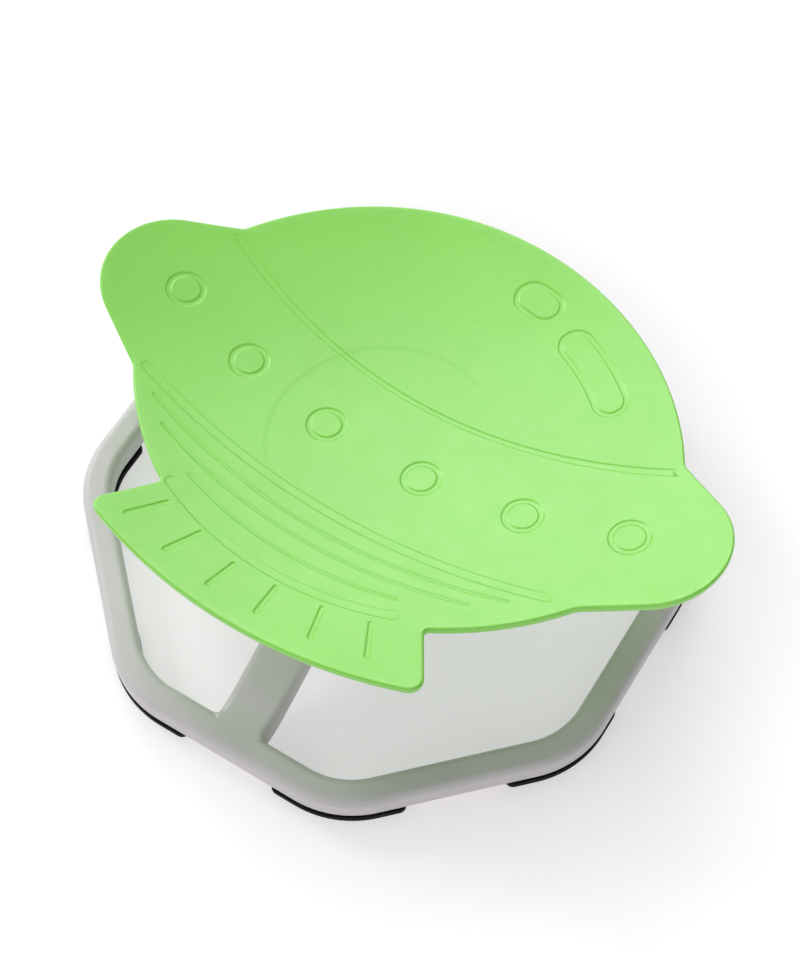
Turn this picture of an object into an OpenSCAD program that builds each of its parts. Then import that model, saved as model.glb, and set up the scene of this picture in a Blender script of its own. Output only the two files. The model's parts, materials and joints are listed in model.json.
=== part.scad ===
// Toddler spinning seat: a dished, saucer-shaped seat that turns on a leaning axle
// above an octagonal tube base. The origin is on the floor at the middle of the base,
// +Z points up and the bridge bar runs along Y.

/* [Base ring] */
// Width of the base ring across its outer flats
ring_across = 450; // [420:1:500]
// Width of the ring tube
tube_w = 22; // [20:0.5:28]
// Height of the ring tube
tube_h = 25; // [22:0.5:32]
// Radius of the long edges of the ring tube and the bridge bar
tube_edge = 6; // [3:0.5:7]
// Wall of the ring tube and the bridge bar
tube_wall = 1.5; // [1:0.1:2.5]
// Radius of each corner bend, at the middle of the tube
bend_r = 70; // [55:1:85]

/* [Bridge bar] */
// Width of the bridge bar
bar_w = 40; // [36:0.5:46]
// Height of the bridge bar
bar_h = 23; // [18:0.5:24]
// Rise of the bar's flat middle above the ring
bar_rise = 28; // [24:0.5:34]
// Slope of the bar's two rising stretches, in degrees
bar_slope = 24; // [18:1:28]
// Bend radius of the bar, at the middle of its height
bar_bend_r = 50; // [40:1:60]
// Leg of the weld fillet in each corner between bar and ring
weld_leg = 8; // [5:0.5:12]

/* [Rubber feet] */
// Thickness of the rubber strips
pad_t = 8; // [6:0.5:12]
// Reach of a strip from the sharp outer corner, along each side
pad_reach = 52; // [46:1:60]
// Corner radius at the ends of a strip
pad_round = 6; // [3:0.5:9]
// Shank diameter of the strip screws
pad_screw_d = 4; // [3:0.5:5]
// Head diameter of the strip screws
pad_head_d = 7.4; // [6:0.2:9]

/* [Axle and hub] */
// Lean of the spin axis from upright, in degrees
lean = 7.5; // [4:0.5:10]
// Direction of the lean, in degrees from +X
lean_dir = 135; // [90:5:180]
// Diameter of the axle foot on the bar
foot_d = 34; // [30:0.5:38]
// Height of the axle foot, along the axis
foot_t = 8; // [6:0.5:12]
// Diameter of the axle collar under the lower bearing
collar_d = 23; // [20:0.5:24]
// Height of the axle collar
collar_t = 2; // [1.5:0.5:4]
// Depth of the axle's spigot in its foot
spigot_t = 4; // [3:0.5:5]
// Diameter of the axle thread
thread_d = 16; // [14:0.5:16.5]
// Height of the axle nut
nut_t = 8; // [6:0.5:10]
// Width of the axle nut across its flats
nut_across = 24; // [22:0.5:26]
// Diameter of the axle washer
washer_d = 29; // [27:0.5:32]
// Thickness of the axle washer
washer_t = 2; // [1:0.5:3]
// Gap between the two bearings
spacer_t = 4; // [2:0.5:10]
// Outer diameter of the hub sleeve
sleeve_d = 50; // [48:0.5:54]
// Height of the sleeve above the upper bearing
sleeve_head = 8; // [6:0.5:12]
// Thickness of the shoulder that stops the upper bearing
shoulder_t = 3; // [2:0.5:4]
// Diameter of the seat flange
flange_d = 164; // [150:1:170]
// Thickness of the seat flange
flange_t = 4; // [3:0.5:6]
// Circle of the seat screws
screw_circle = 130; // [110:1:138]
// Diameter of the seat screws
screw_d = 6; // [5:0.5:8]
// Length of the seat screws under the head
screw_len = 12; // [10:0.5:14]

/* [Ball bearings] */
// Bore of each bearing
bearing_bore = 17; // [17:0.5:18]
// Outer diameter of each bearing
bearing_d = 40; // [39:0.5:41]
// Width of each bearing
bearing_w = 12; // [11:0.5:14]
// Diameter of the balls
ball_d = 6.6; // [6:0.1:6.8]
// Balls in each bearing
ball_count = 8; // [6:1:9]

/* [Seat] */
// Thickness of the seat
seat_t = 12; // [10:0.5:16]
// Radius of the seat's rim edges
rim_edge = 5; // [3:0.5:5]
// Rise of the dish at dish_span from its middle
dish_rise = 5.1; // [3:0.1:7]
// Turn of the seat about its axis at rest, in degrees
seat_turn = -4.3; // [-180:0.1:180]
// Diameter of the flat mounting boss under the seat
boss_d = 174; // [172:1:190]
// Height of the mounting boss below the seat
boss_t = 3; // [2.5:0.5:6]
// Radius of the dome
dome_r = 230; // [220:1:240]
// Angle above the dome's middle line where the dome ends, in degrees
dome_end = 31; // [28:0.5:34]
// Radius of the two side lobes
lobe_r = 53; // [48:1:58]
// Distance of each lobe's middle from the seat's middle line
lobe_x = 214; // [205:1:222]
// Radius of the lower body
body_r = 240; // [232:1:248]
// Angle below the body's middle line where the body meets the lobes, in degrees
body_end = 36.5; // [34:0.5:40]
// Half width of the tail at its root
tail_root = 113.5; // [100:0.5:118]
// Half width of the tail at its tips
tail_half = 145; // [140:1:155]
// Sideways offset of the tail
tail_shift = 10; // [0:1:12]
// Radius of the tail's lower edge
tail_r = 482; // [400:1:600]
// Radius of the tail tips
tip_r = 10; // [8:0.5:14]

/* [Moulded lines on the seat] */
// Depth of the moulded lines
relief = 0.7; // [0.4:0.1:1.2]
// Outer radius of the round portholes
porthole_r = 17; // [14:0.5:18]
// Half width of the two windows in the dome
window_half = 16; // [13:0.5:18]
// Width of the moulded band round a porthole or a window
frame_w = 6; // [4:0.5:7]
// Width of the thin lines across the body
line_w = 3.2; // [2:0.2:4]
// Width of the rays on the tail
ray_w = 4.2; // [3:0.2:5]
// Length of the rays
ray_len = 30; // [20:1:34]
// Distance of the rays from the tail's lower edge
ray_margin = 15.5; // [12:0.5:20]

/* [Hidden] */
$fn = 48;

// Fits: pieces that seat on each other, and pieces that turn past each other
seat_fit = 0.02;
drop_in = 0.1;
ball_gap = 0.15;
cut = 1;

// Base ring: middle line of the tube, its bends and its height
sides = 8;
step = 360 / sides;
ring_mid = ring_across / 2 - tube_w / 2;
ring_in = ring_across / 2 - tube_w;
bend_at = (ring_mid - bend_r) / cos(step / 2);
straight = 2 * (ring_mid - bend_r) * tan(step / 2);
tube_z = pad_t + tube_h / 2;
tube_top = pad_t + tube_h;
edge_steps = 4;

// Bridge bar: its two bends and the slope between them, from the ring inwards
bar_lead = 4;
bend_run = bar_bend_r * sin(bar_slope);
bend_rise = bar_bend_r * (1 - cos(bar_slope));
slope_run = (bar_rise - 2 * bend_rise) / tan(bar_slope);
bar_start = ring_in - bar_lead;
bar_flat = bar_start - 2 * bend_run - slope_run;
bar_z = tube_z + bar_rise;
bar_top = bar_z + bar_h / 2;
bend_steps = 4;
weld_h = bar_h - 2 * tube_edge;

// Rubber feet
pad_in = bend_r - tube_w / 2;
pad_out = bend_r + tube_w / 2;
pad_end = pad_reach - pad_out * tan(step / 2) - pad_round;
pad_steps = 12;
pad_screw_angles = [step / 4, 3 * step / 4];
pad_head_t = 2.4;
pad_head_z = 2.6;
pad_screw_len = 8;

// Heights along the leaning axis, counted from the top of the ring
foot_at = (bar_top - tube_top) / cos(lean);
collar_at = foot_at + foot_t;
lower_at = collar_at + collar_t;
spacer_at = lower_at + bearing_w;
upper_at = spacer_at + spacer_t;
washer_at = upper_at + bearing_w;
nut_at = washer_at + washer_t;
thread_past = 2;
axle_end = nut_at + nut_t + thread_past;
sleeve_top = washer_at + sleeve_head;
flange_top = sleeve_top + flange_t;
seat_top = flange_top + boss_t + seat_t;

// Bearings: the ball track, the two rings and the cage
bore_r = bearing_bore / 2;
outer_r = bearing_d / 2;
pitch_r = (bore_r + outer_r) / 2;
track_r = ball_d / 2 + ball_gap;
land_share = 0.56;
inner_land = pitch_r - land_share * ball_d / 2;
outer_land = pitch_r + land_share * ball_d / 2;
cage_wall = 2.2;
cage_past = 1;
cage_w = ball_d + 2 * cage_past;

// Hub
circlip_t = 1.5;
circlip_bite = 0.8;
circlip_w = 3;
sleeve_lip = 1.5;
sleeve_bottom = lower_at - circlip_t - sleeve_lip;
shoulder_w = 2.5;
shoulder_r = outer_r - shoulder_w;
nut_room = 4;
flange_hole_r = shoulder_r + nut_room;
boss_room = 2;
screw_count = 6;
head_wide = 1.7;
head_high = 0.65;
socket_wide = 0.8;
screw_head_d = head_wide * screw_d;
screw_head_t = head_high * screw_d;
insert_wall = 1.5;
insert_past = 1;
insert_len = screw_len - flange_t + insert_past;

// Outline of the seat, with +Y towards the dome
dome_y = -24;
lobe_y = 20;
body_y = 90;
tail_low = -192;
dome_fillet = 10;
waist_fillet = 16;
root_fillet = 4;
dish_span = 100;
dish = dish_rise / (dish_span * dish_span);
dish_rings = [50, 100, 140];
dome_steps = 28;
lobe_steps = 12;
body_steps = 6;
tail_steps = 12;
fillet_steps = 4;
boss_fn = 96;

// Moulded lines. Each bow is the lower part of a circle on the middle line: its lowest point and its radius
band = [[45, 483], [39.5, 517.5]];
band_half = 195;
long_slot = [[-67, 923], [-75.5, 777.5]];
long_half = 178;
low_slot = [[-140, 241], [-146, 247.5]];
low_half = 97;
lines = [[-89, 659], [-102, 563], [-121, 343]];
line_halves = [157.5, 136, 92.5];
porthole_row = [-12.4, 628.4];
porthole_x = [42.7, 123.3, 199];
window_r = 187;
windows = [[79.4, 82.9], [49.9, 66.6]];
ray_from = [0, 12];
ray_span = 185;
ray_angles = [-30.5, -18.3, -6.1, 6.1, 18.3, 30.5];
mould_low = -cut;
mould_h = 60;
bow_h = 80;
bowl_r = 300;
bowl_step = 10;
slot_steps = 4;
slot_end_steps = 8;
ray_end_steps = 6;
bowl_fn = 96;
bow_fn = 360;

function on_circle(c, r, a) = c + r * [cos(a), sin(a)];
function arc(c, r, a0, a1, n) = [for (i = [0:n]) on_circle(c, r, a0 + (a1 - a0) * i / n)];
function unit(v) = v / norm(v);
function flip(p) = [-p[0], p[1]];
function turned(v, a) = [v[0] * cos(a) - v[1] * sin(a), v[0] * sin(a) + v[1] * cos(a)];

// Stations of the bar, each as [y, z, slope], from one ring side to the other
bar_half = concat([[ring_mid, tube_z, 0]],
    [for (i = [0:bend_steps]) let (a = bar_slope * i / bend_steps)
        [bar_start - bar_bend_r * sin(a), tube_z + bar_bend_r * (1 - cos(a)), a]],
    [for (i = [bend_steps:-1:0]) let (a = bar_slope * i / bend_steps)
        [bar_flat + bar_bend_r * sin(a), bar_z - bar_bend_r * (1 - cos(a)), a]]);
bar_path = concat(bar_half, [for (i = [len(bar_half) - 1:-1:0])
    [-bar_half[i][0], bar_half[i][1], -bar_half[i][2]]]);

// Corners of a rectangle with round edges, as one closed outline
function round_rect(w, h, r) = [for (q = [0:3])
    each arc([(q == 0 || q == 3 ? 1 : -1) * (w / 2 - r), (q < 2 ? 1 : -1) * (h / 2 - r)],
        r, 90 * q, 90 * q + 90, edge_steps)];

// Arc of radius r that rounds the corner p between its neighbours a and b
function corner_arc(a, p, b, r, n) =
    let (u = unit(a - p), v = unit(b - p), half = acos(u * v) / 2)
    let (c = p + unit(u + v) * r / sin(half), s = p + u * r / tan(half) - c, e = p + v * r / tan(half) - c)
    let (way = sign(s[0] * e[1] - s[1] * e[0]) * (180 - 2 * half))
    [for (i = [0:n]) c + turned(s, way * i / n)];

// Angle at which a line from p touches the circle c, r, on the side given by way
function touch(p, c, r, way) = atan2(p[1] - c[1], p[0] - c[0]) + way * acos(r / norm(p - c));

// Rough outline: each entry is a point and the radius that rounds it
function plain(pts) = [for (p = pts) [p, 0]];
function inner(pts) = [for (i = [1:len(pts) - 2]) pts[i]];
dome_c = [0, dome_y];
lobe_c = [lobe_x, lobe_y];
body_c = [0, body_y];
tail_c = [tail_shift, tail_low + tail_r];
dome_tip = on_circle(dome_c, dome_r, dome_end);
waist = on_circle(body_c, body_r, -body_end);
lobe_arc = arc(lobe_c, lobe_r, touch(waist, lobe_c, lobe_r, 1), touch(dome_tip, lobe_c, lobe_r, -1),
    lobe_steps);
root_left = -asin((tail_root - tail_shift) / body_r) - 90;
root_right = asin((tail_root + tail_shift) / body_r) - 90;
tail_spread = asin(tail_half / tail_r);
dome_arc = arc(dome_c, dome_r, dome_end, 180 - dome_end, dome_steps);
left_arc = arc(body_c, body_r, body_end - 180, root_left, body_steps);
right_arc = arc(body_c, body_r, root_right, -body_end, body_steps);
tail_arc = arc(tail_c, tail_r, -90 - tail_spread, -90 + tail_spread, tail_steps);
rough = concat([[dome_tip, dome_fillet]], plain(inner(dome_arc)), [[flip(dome_tip), dome_fillet]],
    plain([for (i = [len(lobe_arc) - 1:-1:0]) flip(lobe_arc[i])]),
    [[flip(waist), waist_fillet]], plain(inner(left_arc)), [[left_arc[body_steps], root_fillet]],
    [[tail_arc[0], tip_r]], plain(inner(tail_arc)), [[tail_arc[tail_steps], tip_r]],
    [[right_arc[0], root_fillet]], plain(inner(right_arc)), [[waist, waist_fillet]], plain(lobe_arc));
count = len(rough);
outline = [for (i = [0:count - 1]) let (p = rough[i])
    each p[1] == 0 ? [p[0]]
        : corner_arc(rough[(i + count - 1) % count][0], p[0], rough[(i + 1) % count][0], p[1],
            fillet_steps)];
pts = len(outline);

// Outward normal at each outline point, long enough to keep the edges parallel
function edge_normal(i) = let (e = unit(outline[(i + 1) % pts] - outline[i % pts])) [e[1], -e[0]];
function miter(i) = let (a = edge_normal(i + pts - 1), b = edge_normal(i)) (a + b) / (1 + a * b);
miters = [for (i = [0:pts - 1]) miter(i)];

// Closed rings of seat points, below the dish by drop: round ones near the middle, one that lies
// halfway out to the rim, and ones that follow the outline at an inset
function dish_point(p, drop) = [p[0], p[1], dish * (p * p) - drop];
function rim_point(i, inset) = outline[i] - inset * miters[i];
function rim_ring(inset, drop) = [for (i = [0:pts - 1]) dish_point(rim_point(i, inset), drop)];
function round_ring(r, drop) = [for (i = [0:pts - 1]) dish_point(r * unit(outline[i]), drop)];
function half_ring(r, drop) = [for (i = [0:pts - 1])
    dish_point((r * unit(outline[i]) + rim_point(i, rim_edge)) / 2, drop)];

module round_tube(w, h) {
    difference() {
        polygon(round_rect(w, h, tube_edge));
        polygon(round_rect(w - 2 * tube_wall, h - 2 * tube_wall, tube_edge - tube_wall));
    }
}

// Places its children on the leaning axis, at a height counted from the top of the ring
module on_axis(height, turn = 0) {
    translate([0, 0, tube_top]) rotate([0, 0, lean_dir]) rotate([0, lean, 0])
        rotate([0, 0, turn - lean_dir]) translate([0, 0, height]) children();
}

// A plain ring about the axis
module washer(r_in, r_out, t) {
    rotate_extrude() translate([r_in, 0]) square([r_out - r_in, t]);
}

// One straight side of the base, at azimuth 0
module side_run(length) {
    translate([ring_mid, 0, tube_z]) rotate([90, 0, 0]) linear_extrude(length, center = true) children();
}

// Sweep of a section round one corner bend
module corner_bend() {
    rotate([0, 0, step / 2]) translate([bend_at, 0, 0]) rotate([0, 0, -step / 2])
        rotate_extrude(angle = step) translate([bend_r, 0]) children();
}

// Places its children at the screws of one corner
module at_pad_screws() {
    for (a = pad_screw_angles)
        rotate([0, 0, step / 2]) translate([bend_at, 0, 0]) rotate([0, 0, a - step / 2])
            translate([bend_r, 0, 0]) children();
}

module ring_tube() {
    color("gainsboro") difference() {
        for (i = [0:sides - 1]) rotate([0, 0, i * step]) {
            side_run(straight) round_tube(tube_w, tube_h);
            corner_bend() translate([0, tube_z]) round_tube(tube_w, tube_h);
        }
        for (i = [0:sides - 1]) rotate([0, 0, i * step]) at_pad_screws()
            translate([0, 0, pad_t - cut]) cylinder(d = pad_screw_d + 2 * drop_in, h = tube_wall + 2 * cut);
    }
}

// One ring of the bar's section at a station, shrunk by the wall on its inner side
function bar_ring(st, wall) = [for (p = round_rect(bar_w - 2 * wall, bar_h - 2 * wall, tube_edge - wall))
    [p[0], st[0] + p[1] * sin(st[2]), st[1] + p[1] * cos(st[2])]];

// Bent tube swept along the stations: outer skin, inner skin and the two open ends
module bent_bar() {
    outer = [for (st = bar_path) bar_ring(st, 0)];
    bore = [for (st = bar_path) bar_ring(st, tube_wall)];
    n = len(outer[0]);
    last = len(outer) - 1;
    skin = len(outer) * n;
    polyhedron(concat([for (r = outer) each r], [for (r = bore) each r]), concat(
        [for (k = [0:last - 1], i = [0:n - 1]) let (a = k * n + i, b = k * n + (i + 1) % n)
            each [[a, b + n, b], [a, a + n, b + n]]],
        [for (k = [0:last - 1], i = [0:n - 1]) let (a = skin + k * n + i, b = skin + k * n + (i + 1) % n)
            each [[a, b, b + n], [a, b + n, a + n]]],
        [for (k = [0, last], i = [0:n - 1]) let (a = k * n + i, b = k * n + (i + 1) % n)
            each k == 0 ? [[a, b, b + skin], [a, b + skin, a + skin]]
                : [[a, b + skin, b], [a, a + skin, b + skin]]]));
}

// Weld fillets in the four corners between the bar and the ring
module bar_welds() {
    for (s = [-1, 1], e = [-1, 1]) translate([s * bar_w / 2, e * ring_in, tube_z - weld_h / 2])
        linear_extrude(weld_h) polygon([[0, 0], [s * weld_leg, 0], [0, -e * weld_leg]]);
}

module bridge_bar() {
    color("gainsboro") difference() {
        union() {
            bent_bar();
            bar_welds();
        }
        for (a = [90, 270]) rotate([0, 0, a])
            side_run(2 * bar_w) polygon(round_rect(tube_w, tube_h, tube_edge));
    }
}

module axle_foot() {
    color("gainsboro") difference() {
        on_axis(foot_at - foot_t) cylinder(d = foot_d, h = 2 * foot_t);
        translate([-foot_d, -foot_d, bar_top - 2 * foot_t]) cube([2 * foot_d, 2 * foot_d, 2 * foot_t]);
        on_axis(collar_at - spigot_t) cylinder(d = thread_d + 2 * seat_fit, h = spigot_t + cut);
    }
}

module axle() {
    color("silver") on_axis(collar_at) {
        translate([0, 0, -spigot_t]) cylinder(d = thread_d, h = spigot_t);
        cylinder(d = collar_d, h = collar_t);
        translate([0, 0, collar_t]) cylinder(d = bearing_bore - 2 * seat_fit, h = washer_at - lower_at);
        cylinder(d = thread_d, h = axle_end - collar_at);
    }
}

// Ball track cut out of a bearing ring
module ball_track() {
    rotate_extrude() translate([pitch_r, bearing_w / 2]) circle(r = track_r);
}

module bearing_inner(height) {
    color("silver") on_axis(height) difference() {
        washer(bore_r, inner_land, bearing_w);
        ball_track();
    }
}

module bearing_outer(height) {
    color("silver") on_axis(height) difference() {
        washer(outer_land, outer_r, bearing_w);
        ball_track();
    }
}

module bearing_cage(height) {
    color("peru") on_axis(height + bearing_w / 2) difference() {
        translate([0, 0, -cage_w / 2]) washer(pitch_r - cage_wall / 2, pitch_r + cage_wall / 2, cage_w);
        for (i = [0:ball_count - 1]) rotate([0, 90, i * 360 / ball_count])
            cylinder(d = ball_d + 2 * ball_gap, h = outer_r);
    }
}

module bearing_balls(height) {
    color("silver") on_axis(height + bearing_w / 2)
        for (i = [0:ball_count - 1]) rotate([0, 0, i * 360 / ball_count]) translate([pitch_r, 0, 0])
            sphere(d = ball_d);
}

module lower_bearing_inner() bearing_inner(lower_at);
module upper_bearing_inner() bearing_inner(upper_at);
module lower_bearing_outer() bearing_outer(lower_at);
module upper_bearing_outer() bearing_outer(upper_at);
module lower_cage() bearing_cage(lower_at);
module upper_cage() bearing_cage(upper_at);
module lower_balls() bearing_balls(lower_at);
module upper_balls() bearing_balls(upper_at);

module bearing_spacer() {
    color("silver") on_axis(spacer_at) washer(bore_r, inner_land, spacer_t);
}

module outer_spacer() {
    color("silver") on_axis(spacer_at) washer(outer_land, outer_r - drop_in, spacer_t);
}

module axle_washer() {
    color("silver") on_axis(washer_at) washer(thread_d / 2 + seat_fit, washer_d / 2, washer_t);
}

module axle_nut() {
    color("silver") on_axis(nut_at) difference() {
        cylinder(d = nut_across / cos(30), h = nut_t, $fn = 6);
        translate([0, 0, -cut]) cylinder(d = thread_d + 2 * seat_fit, h = nut_t + 2 * cut);
    }
}

// Plan of a strip about the middle of its bend: round the outside, the far end, back along the inside
// and the near end
pad_plan = concat(arc([0, 0], pad_out, 0, step, pad_steps),
    [for (p = concat(arc([pad_out - pad_round, pad_end], pad_round, 0, 90, edge_steps),
        arc([pad_in + pad_round, pad_end], pad_round, 90, 180, edge_steps))) turned(p, step)],
    arc([0, 0], pad_in, step, 0, pad_steps),
    arc([pad_in + pad_round, -pad_end], pad_round, 180, 270, edge_steps),
    arc([pad_out - pad_round, -pad_end], pad_round, 270, 360, edge_steps));

// Rubber strip under one corner
module foot_pad(i) {
    color("#1c1c1c") rotate([0, 0, (i - 1) * step]) difference() {
        translate(bend_at * [cos(step / 2), sin(step / 2), 0]) linear_extrude(pad_t) polygon(pad_plan);
        at_pad_screws() translate([0, 0, -cut]) {
            cylinder(d = pad_screw_d + 2 * drop_in, h = pad_t + 2 * cut);
            cylinder(d = pad_head_d + 4 * drop_in, h = pad_head_z + pad_head_t + cut);
        }
    }
}

module foot_pad_1() foot_pad(1);
module foot_pad_2() foot_pad(2);
module foot_pad_3() foot_pad(3);
module foot_pad_4() foot_pad(4);
module foot_pad_5() foot_pad(5);
module foot_pad_6() foot_pad(6);
module foot_pad_7() foot_pad(7);
module foot_pad_8() foot_pad(8);

module pad_screws() {
    color("dimgray") for (i = [0:sides - 1]) rotate([0, 0, i * step]) at_pad_screws()
        translate([0, 0, pad_head_z]) {
            cylinder(d = pad_head_d, h = pad_head_t);
            cylinder(d = pad_screw_d, h = pad_head_t + pad_screw_len);
        }
}

// Dished seat: rings of points from the middle of the top, round the rim, to the middle of the underside
module dished_seat() {
    round_steps = [0, 30, 60, 90];
    widest = dish_rings[len(dish_rings) - 1];
    rings = concat([for (r = dish_rings) round_ring(r, 0)], [half_ring(widest, 0)],
        [for (a = round_steps) rim_ring(rim_edge * (1 - sin(a)), rim_edge * (1 - cos(a)))],
        [for (a = round_steps) rim_ring(rim_edge * (1 - cos(a)), seat_t - rim_edge * (1 - sin(a)))],
        [half_ring(widest, seat_t)],
        [for (i = [len(dish_rings) - 1:-1:0]) round_ring(dish_rings[i], seat_t)]);
    last = len(rings) - 1;
    low_pole = (last + 1) * pts + 1;
    polyhedron(concat([[0, 0, 0]], [for (r = rings) each r], [[0, 0, -seat_t]]), concat(
        [for (i = [0:pts - 1]) [0, 1 + (i + 1) % pts, 1 + i]],
        [for (k = [0:last - 1], i = [0:pts - 1]) let (a = 1 + k * pts + i, b = 1 + k * pts + (i + 1) % pts)
            each [[a, b, b + pts], [a, b + pts, a + pts]]],
        [for (i = [0:pts - 1]) [low_pole, 1 + last * pts + i, 1 + last * pts + (i + 1) % pts]]));
}

// Places its children at the seat screws, at a height on the axis
module at_seat_screws(height) {
    on_axis(height, seat_turn) for (i = [0:screw_count - 1]) rotate([0, 0, i * 360 / screw_count])
        translate([screw_circle / 2, 0, 0]) children();
}

// Height of a bow on the plan
function bow_y(b, x) = b[0] + b[1] - sqrt(b[1] * b[1] - x * x);

// Slot with round ends that follows a circle about the dome's middle
function bent_slot(r, a0, a1, half) = concat(
    inner(arc(dome_c, r + half, a0, a1, slot_steps)),
    arc(on_circle(dome_c, r, a1), half, a1, a1 + 180, slot_end_steps),
    inner(arc(dome_c, r - half, a1, a0, slot_steps)),
    arc(on_circle(dome_c, r, a0), half, a0 - 180, a0, slot_end_steps));

// Straight slot with round ends
function ray_slot(from, to, half) = let (a = atan2(to[1] - from[1], to[0] - from[0]))
    concat(arc(to, half, a - 90, a + 90, ray_end_steps), arc(from, half, a + 90, a + 270, ray_end_steps));

// Upright prism on a plan
module mould(plan, over = 0) {
    translate([0, 0, mould_low - over]) linear_extrude(mould_h + 2 * over) polygon(plan);
}

// Upright prism between two bows
module between_bows(up, low, half) {
    intersection() {
        difference() {
            translate([0, low[0] + low[1], mould_low])
                cylinder(r = low[1], h = mould_h, $fn = bow_fn);
            translate([0, up[0] + up[1], mould_low - cut])
                cylinder(r = up[1], h = mould_h + 2 * cut, $fn = bow_fn);
        }
        translate([-half, low[0] - cut, mould_low - cut]) cube([2 * half, bow_h, mould_h + 2 * cut]);
    }
}

// The bowl that carries the floors of the moulded lines
module dish_floor() {
    translate([0, 0, -relief]) rotate_extrude($fn = bowl_fn) polygon(concat([[0, -seat_t]],
        [[bowl_r, -seat_t]], [for (r = [bowl_r:-bowl_step:0]) [r, dish * r * r]]));
}

// Every moulded line as an upright prism that ends on the bowl
module moulded_lines() {
    difference() {
        union() {
            between_bows(band[0], band[1], band_half);
            between_bows(long_slot[0], long_slot[1], long_half);
            between_bows(low_slot[0], low_slot[1], low_half);
            for (i = [0:len(lines) - 1]) let (side = [line_w / 2, -line_w / 2])
                between_bows(lines[i] + side, lines[i] - side, line_halves[i]);
            for (x = porthole_x, s = [-1, 1])
                translate([s * x, bow_y(porthole_row, x), mould_low])
                    washer(porthole_r - frame_w, porthole_r, mould_h);
            for (w = windows) difference() {
                mould(bent_slot(window_r, w[0], w[1], window_half));
                mould(bent_slot(window_r, w[0], w[1], window_half - frame_w), cut);
            }
            for (a = ray_angles) let (way = [sin(a), -cos(a)],
                low = bow_y([tail_low, tail_r], ray_from[0] + ray_span * way[0] - tail_shift),
                reach = (ray_from[1] - low - ray_margin) / cos(a))
                mould(ray_slot(ray_from + (reach - ray_len) * way, ray_from + reach * way, ray_w / 2));
        }
        dish_floor();
    }
}

module seat_shell() {
    color("#8fe86b") difference() {
        on_axis(seat_top, seat_turn) {
            dished_seat();
            translate([0, 0, -seat_t - boss_t]) cylinder(d = boss_d, h = boss_t + seat_t / 2, $fn = boss_fn);
        }
        on_axis(seat_top, seat_turn) moulded_lines();
        on_axis(flange_top - cut) cylinder(r = flange_hole_r + boss_room, h = boss_t + cut);
        at_seat_screws(flange_top - cut)
            cylinder(d = screw_d + 2 * insert_wall + 2 * seat_fit, h = insert_len + cut + drop_in);
    }
}

module seat_flange() {
    color("silver") difference() {
        on_axis(sleeve_top) washer(flange_hole_r, flange_d / 2, flange_t);
        at_seat_screws(sleeve_top - cut) cylinder(d = screw_d + 4 * drop_in, h = flange_t + 2 * cut);
    }
}

module hub_sleeve() {
    color("silver") on_axis(sleeve_bottom) difference() {
        cylinder(d = sleeve_d, h = sleeve_top - sleeve_bottom);
        translate([0, 0, -cut]) cylinder(r = outer_r + seat_fit, h = washer_at - sleeve_bottom + cut);
        translate([0, 0, sleeve_lip]) cylinder(r = outer_r + circlip_bite + drop_in, h = circlip_t);
        cylinder(r = shoulder_r, h = sleeve_top - sleeve_bottom + cut);
        translate([0, 0, washer_at + shoulder_t - sleeve_bottom])
            cylinder(r = flange_hole_r, h = sleeve_head);
    }
}

module hub_circlip() {
    color("dimgray") on_axis(lower_at - circlip_t) difference() {
        washer(outer_r + circlip_bite - circlip_w, outer_r + circlip_bite, circlip_t);
        translate([0, -circlip_w, -cut]) cube([2 * outer_r, 2 * circlip_w, circlip_t + 2 * cut]);
    }
}

module seat_screws() {
    color("dimgray") at_seat_screws(sleeve_top) difference() {
        union() {
            cylinder(d = screw_d, h = screw_len);
            translate([0, 0, -screw_head_t]) cylinder(d = screw_head_d, h = screw_head_t);
        }
        translate([0, 0, -screw_head_t - cut])
            cylinder(d = socket_wide * screw_d, h = screw_head_t / 2 + cut, $fn = 6);
    }
}

module seat_inserts() {
    color("goldenrod") at_seat_screws(flange_top)
        washer(screw_d / 2 + seat_fit, screw_d / 2 + insert_wall, insert_len);
}

ring_tube();
bridge_bar();
axle_foot();
axle();
lower_bearing_inner();
upper_bearing_inner();
bearing_spacer();
axle_washer();
axle_nut();
foot_pad_1();
foot_pad_2();
foot_pad_3();
foot_pad_4();
foot_pad_5();
foot_pad_6();
foot_pad_7();
foot_pad_8();
pad_screws();
seat_shell();
seat_flange();
hub_sleeve();
outer_spacer();
lower_bearing_outer();
upper_bearing_outer();
hub_circlip();
seat_screws();
seat_inserts();
lower_cage();
lower_balls();
upper_cage();
upper_balls();
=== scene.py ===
"""Finishes the toddler spinning seat: moulded seat, coated tube base, rubber feet, hub, and a studio."""

import json
import math

import bmesh
import bpy
import numpy as np
from mathutils import Matrix, Vector
from mathutils.geometry import delaunay_2d_cdt
from mathutils.kdtree import KDTree


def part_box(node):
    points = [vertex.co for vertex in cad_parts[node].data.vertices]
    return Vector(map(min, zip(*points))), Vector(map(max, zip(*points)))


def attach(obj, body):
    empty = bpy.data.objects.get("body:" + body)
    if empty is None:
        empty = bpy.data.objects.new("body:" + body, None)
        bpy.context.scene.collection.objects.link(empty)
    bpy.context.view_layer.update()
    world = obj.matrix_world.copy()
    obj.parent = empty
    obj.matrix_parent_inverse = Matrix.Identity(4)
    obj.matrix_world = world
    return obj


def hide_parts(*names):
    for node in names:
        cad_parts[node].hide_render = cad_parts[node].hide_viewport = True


bl_info = {
    "name": "Spinning Seat",
    "version": (1, 0, 0),
    "blender": (4, 5, 0),
    "location": "View3D > Sidebar > Spinning Seat",
    "description": "Builds the finish of a toddler spinning seat around its mechanical frame",
    "category": "Object",
}

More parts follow.
